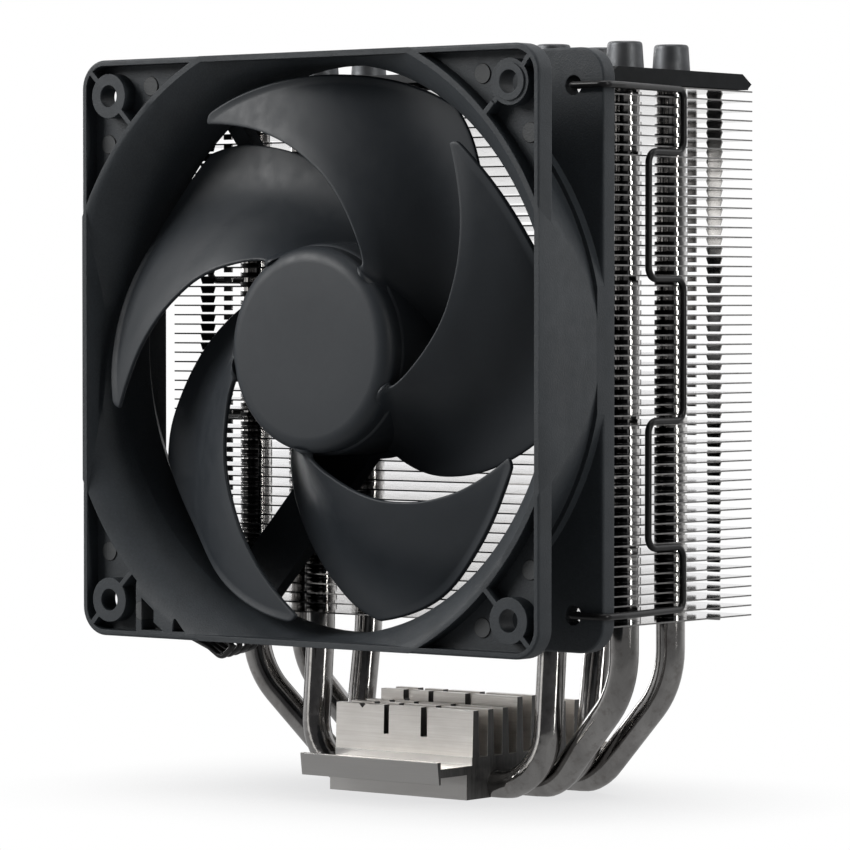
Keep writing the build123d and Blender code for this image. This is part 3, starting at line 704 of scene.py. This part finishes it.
def pipe_path(outer, side, base_y):
    y = side * PIPE_ROW_Y
    if outer:
        x, knee_z, base_x, radii = OUTER_PIPE_X, 23.7, 28.3, [18.0, 12.0]
    else:
        x, knee_z, base_x, radii = INNER_PIPE_X, 33.0, INNER_PIPE_X, [40.0, 12.0]
    leg = [(x, y, PIPE_TOP), (x, y, knee_z), (base_x, base_y, PIPE_BASE_Z)]
    mirrored = [(-px, py, pz) for px, py, pz in reversed(leg)]
    return rounded(leg + mirrored, radii + radii[::-1], step=3.0, run=1.6)


def rippled(path):
    """Pipe radius with faint ripples where the pipe is bent."""
    steps = np.linalg.norm(np.gradient(path, axis=0), axis=1)
    bend = np.linalg.norm(np.gradient(tangents(path), axis=0), axis=1) / np.maximum(steps, 1e-6)
    length = np.concatenate([[0], np.cumsum(np.linalg.norm(np.diff(path, axis=0), axis=1))])

    def radius(i, angle):
        wave = 0.5 + 0.5 * math.sin(length[i] * 3.1 + 0.6 * math.sin(angle))
        return PIPE_R - RIPPLE * min(1.0, bend[i] * 12.0) * wave
    return radius


for name, layout in PIPES.items():
    path = pipe_path(*layout)
    shell = tube(path, PIPE_R, sides=48, end_round=0.4, radius_at=rippled(path), floor=0.0)
    build(name + "_skin", shell, "pipe", "heatsink", name, sharp=50)

# --------------------------------------------------------------------- pipe caps
CAP_BOTTOM, CAP_TOP = 148.94, 154.6
CAP_R = 3.9
CAP_BORE_R = PIPE_R + 0.05
CAP_CEILING = PIPE_TOP + 0.12
CAP_EDGE = 0.6                       # rounding of the top edge


def pipe_cap(x, y):
    edge = [(2.93 + CAP_EDGE * math.sin(math.radians(q)),
             CAP_TOP - CAP_EDGE + CAP_EDGE * math.cos(math.radians(q)))
            for q in (80, 60, 40, 20, 0)]
    profile = [(CAP_BORE_R, CAP_BOTTOM), (CAP_R - 0.06, CAP_BOTTOM), (CAP_R, CAP_BOTTOM + 0.08),
               (CAP_R - 0.323, CAP_TOP - 0.75), *edge, (2.4, CAP_TOP - 0.02),
               (1.2, CAP_TOP - 0.06), (0, CAP_TOP - 0.07), (0, CAP_CEILING),
               (CAP_BORE_R, CAP_CEILING)]
    return lathe(profile, lambda r, a, h: (x + r * math.cos(a), y + r * math.sin(a), h), 64)


build("pipe_cap_set",
      merge(pipe_cap(side_x * x, side_y * PIPE_ROW_Y) for x in (INNER_PIPE_X, OUTER_PIPE_X)
            for side_x in (-1, 1) for side_y in (-1, 1)),
      "cap", "heatsink", "pipe_caps", sharp=40)

# ------------------------------------------------------------------------- clips
CLIP_WIRE_R = 0.7
CLIP_END = 52.5                      # wire ends, from the fan axis in x and z
# upper half of the right clip: (x, y, height above the fan axis)
CLIP_CORNERS = [
    (CLIP_END, FAN_FRONT + FAN_DEPTH - 1.6, CLIP_END), (CLIP_END, -31.05, CLIP_END),
    (61.0, -31.05, CLIP_END), (60.95, -25.0, CLIP_END), (58.25, -0.6, CLIP_END),
    (58.25, -0.6, 39.8), (58.25, -12.6, 39.8), (58.25, -12.6, 14.3), (58.25, -0.6, 14.3)]
CLIP_BENDS = [1.0, 1.6, 8.0, 1.9, 2.4, 2.4, 2.4, 2.4]


def clip(side):
    corners = [(side * x, y, FAN_AXIS_Z + z) for x, y, z in CLIP_CORNERS]
    corners += [(side * x, y, FAN_AXIS_Z - z) for x, y, z in reversed(CLIP_CORNERS)]
    path = rounded(corners, CLIP_BENDS + CLIP_BENDS[::-1], step=6.0, run=6.0)
    return tube(path, CLIP_WIRE_R, sides=20, end_round=0.5)


for name, side in (("right", 1), ("left", -1)):
    build(f"clip_{name}_wire", clip(side), "wire", f"{name}_clip",
          f"clip_{name}", sharp=50)

# --------------------------------------------------------------------- fan cable
CABLE_WIRE_R = 0.62
CABLE_ANGLE = math.radians(228.0)    # direction of the arm the wires follow
CABLE_OFFSET = 10.0                  # sideways from that radius to the middle of the wires
ARM_PITCH = 1.08                     # between wires along the arm
FLAT_PITCH = 2.54                    # between wires in y along the fan's side
CABLE_BENDS = [0.9, 0.9, 1.0, 2.0, 2.8, 3.0, 4.0, 1.5]


def cable_wire(k):
    depth = 7.5 + FLAT_PITCH * k
    sideways = CABLE_OFFSET + (k - 1.5) * ARM_PITCH
    cos, sin = math.cos(CABLE_ANGLE), math.sin(CABLE_ANGLE)
    # (x, depth behind the fan's front face, z from the fan axis)
    corners = [(r * cos - sideways * sin, y, r * sin + sideways * cos)
               for r, y in ((17.5, 23.6), (63.8, 23.6), (64.9, depth))]
    corners += [(x, depth, z) for x, z in (
        (-24.5 + 0.3 * k, -61.3), (-27.9 - 0.5 * k, -63.9 + 0.3 * k),
        (-31.3 - 1.3 * k, -61.8 + 0.3 * k), (-38.0 - 0.6 * k, -59.3),
        (-47.0, -58.2), (-56.0, -54.2), (-56.0, -49.0))]
    placed = [(x, FAN_FRONT + y, FAN_AXIS_Z + z) for x, y, z in corners]
    return tube(rounded(placed, CABLE_BENDS, step=5.0, run=4.0), CABLE_WIRE_R,
                sides=18, end_round=0.3)


build("fan_cable_wires", merge(cable_wire(k) for k in range(4)),
      "cable", "fan", "fan_cable", sharp=50)

# --------------------------------------------------- CAD pieces that stay shown
# CAD node: material
DRESSED = {
    "base_block": "base", "fin_stack": "fin", "top_cover": "cover", "pipe_wicks": "wick",
    "fan_frame": "frame", "fan_pads": "pads", "bearing_tube": "brass",
    "sleeve_bearing": "bronze", "thrust_pad": "retainer", "stator_core": "lamination",
    "stator_insulators": "insulator", "stator_windings": "winding", "motor_pcb": "board",
    "board_parts": "chip", "rear_label": "label", "cable_plug": "plug",
    "plug_terminals": "tin", "rotor_yoke": "yoke", "rotor_magnet": "ferrite",
    "rotor_shaft": "shaft", "shaft_retainer": "retainer"}


def dress(node, material):
    """Give a CAD piece one material and smooth shading that breaks at 30 degrees."""
    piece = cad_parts[node]
    mesh = piece.data
    mesh.materials.clear()
    mesh.materials.append(material)
    mesh.polygons.foreach_set("material_index", [0] * len(mesh.polygons))
    if "custom_normal" in mesh.attributes:
        mesh.attributes.remove(mesh.attributes["custom_normal"])
    mesh.polygons.foreach_set("use_smooth", [True] * len(mesh.polygons))
    piece.modifiers.new("weld", "WELD").merge_threshold = 2e-6
    piece.modifiers.new("edges", "EDGE_SPLIT").split_angle = math.radians(30.0)


for node, key in DRESSED.items():
    dress(node, MATERIALS[key])


# ------------------------------------------------- floor, world, lights, camera
def floor_material():
    """White to the camera with a faint contact shade, a soft bounce for everything else."""
    m = new_material("floor_pale")
    contact = m.add("ShaderNodeAmbientOcclusion", samples=8)
    contact.inputs["Distance"].default_value = 0.05
    shade = m.mix(m.remap(contact.outputs["AO"], span=(0.25, 1.0)),
                  (0.74, 0.74, 0.745), (1.0, 1.0, 1.0))
    away = m.plus(m.times(m.position[0], VIEW_FORWARD[0]),
                  m.times(m.position[1], VIEW_FORWARD[1]))
    tone = m.mix(m.remap(away, span=(-0.15, 0.35)), (0.24, 0.24, 0.24), (0.88, 0.88, 0.88))
    m.split_camera(unseen=m.glow("ShaderNodeEmission", tone),
                   seen=m.glow("ShaderNodeEmission", shade))
    return m.owner


def make_floor():
    mesh = bpy.data.meshes.new("floor")
    bm = bmesh.new()
    bmesh.ops.create_grid(bm, x_segments=8, y_segments=8, size=6.0)
    for vertex in bm.verts:
        vertex.co.z = -0.0004
    bm.to_mesh(mesh)
    bm.free()
    mesh.materials.append(floor_material())
    link_object("floor", mesh)


def make_world():
    """White to the camera; otherwise dim behind the camera and bright beyond the cooler."""
    world = bpy.data.worlds.new("studio")
    scene.world = world
    g = Graph(world, "ShaderNodeOutputWorld")
    direction = g.add("ShaderNodeVectorMath", operation="NORMALIZE")
    g.put(direction.inputs[0], g.coords["Generated"])
    ahead = g.add("ShaderNodeVectorMath", operation="DOT_PRODUCT")
    g.put(ahead.inputs[0], direction.outputs[0])
    g.put(ahead.inputs[1], VIEW_FORWARD)
    ramp = g.add("ShaderNodeValToRGB")
    g.put(ramp.inputs[0], g.remap(ahead.outputs["Value"], span=(-1.0, 1.0)))
    stops = ramp.color_ramp.elements
    stops[0].position = 0.30
    stops[0].color = (0.07, 0.07, 0.073, 1)
    stops[1].position = 0.50
    stops[1].color = (0.22, 0.22, 0.225, 1)
    stops.new(0.70).color = (0.95, 0.95, 0.96, 1)
    g.split_camera(unseen=g.glow("ShaderNodeBackground", ramp.outputs[0]),
                   seen=g.glow("ShaderNodeBackground", (1, 1, 1)))


COOLER_MIDDLE = (0.0, -0.02, 0.09)
COOLER_BASE = (0.0, -0.02, 0.02)
# name, place, target, width, height, watts, colour
SOFTBOXES = [
    ("key_left", (-1.05, -1.15, 0.85), COOLER_MIDDLE, 0.8, 0.8, 21, (1.0, 0.995, 0.985)),
    ("side_right", (1.45, -0.15, 0.45), COOLER_MIDDLE, 0.2, 1.3, 8, (1.0, 0.99, 0.97)),
    ("base_fill", (-0.95, -1.1, 0.10), COOLER_BASE, 0.5, 0.22, 0.45, (1.0, 0.985, 0.96)),
    ("top", (0.05, 0.05, 1.35), COOLER_MIDDLE, 0.9, 0.7, 6, (1, 1, 1)),
    ("strip_left", (-1.2, 0.35, 0.35), COOLER_MIDDLE, 0.25, 1.2, 7, (1, 1, 1)),
    ("back_right", (0.9, 1.1, 0.9), COOLER_MIDDLE, 0.4, 0.5, 2, (1, 1, 1))]


def aim(thing, direction):
    thing.rotation_euler = direction.to_track_quat("-Z", "Y").to_euler()


def make_softbox(name, place, target, width, height, watts, color):
    light = bpy.data.lights.new(name, "AREA")
    light.shape = "RECTANGLE"
    light.size, light.size_y = width, height
    light.energy = watts
    light.color = color
    box = link_object(name, light)
    box.location = place
    aim(box, Vector(target) - Vector(place))


def make_camera():
    aim_right, aim_down = 0.0263585021, 0.0261596265   # per unit forward
    lens = bpy.data.cameras.new("cam")
    lens.sensor_width = 36.0
    lens.lens = 198.054635
    lens.clip_end = 50
    camera = link_object("cam", lens)
    camera.location = (0.6068, -0.7728, 0.1019)
    aim(camera, Vector(VIEW_FORWARD) + Vector(VIEW_RIGHT) * aim_right
        - Vector((0, 0, 1)) * aim_down)
    scene.camera = camera


make_floor()
make_world()
for row in SOFTBOXES:
    make_softbox(*row)
make_camera()
scene.view_settings.view_transform = "Standard"
scene.view_settings.look = "None"
